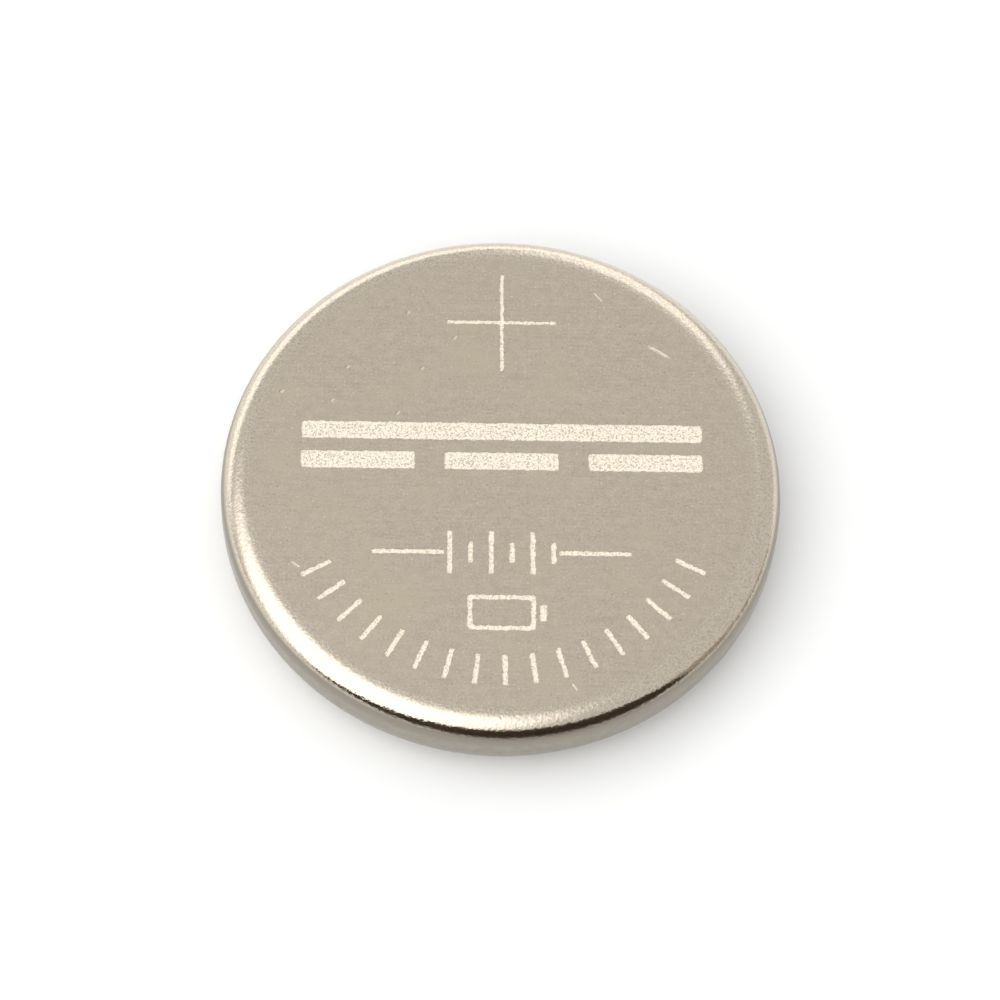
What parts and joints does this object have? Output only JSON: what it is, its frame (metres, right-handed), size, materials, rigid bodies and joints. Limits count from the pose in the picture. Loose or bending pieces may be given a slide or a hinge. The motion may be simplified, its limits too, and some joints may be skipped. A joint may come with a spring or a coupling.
{
  "type": "lithium coin cell",
  "caption": "Flat round lithium cell: a drawn steel can rolled over a gasket onto a stepped cap, with a contact face on each side.",
  "frame": {"origin": "centre of the negative contact flat, on the surface that the cell rests on", "axes": "+Z along the cell's axis, out of the positive face; +Y points to the edge that the plus sign is nearest to"},
  "size_m": [0.0125, 0.0124, 0.002],
  "materials": {
    "can_steel": "satin rolled steel, polished on the corner, with shallow pale marks on the face",
    "gasket_polymer": "moulded, natural colour",
    "cap_steel": "satin, with a fine stipple on the contact flat",
    "lithium": "dull, pressed",
    "nonwoven": "soft white felt",
    "oxide": "pressed powder, matt",
    "ring_steel": "plain rolled sheet"
  },
  "bodies": {
    "root": {"positive_can": "can_steel", "sealing_gasket": "gasket_polymer", "negative_cap": "cap_steel", "lithium_disc": "lithium", "separator": "nonwoven", "cathode_pellet": "oxide", "cathode_ring": "ring_steel"}
  },
  "joints": []
}
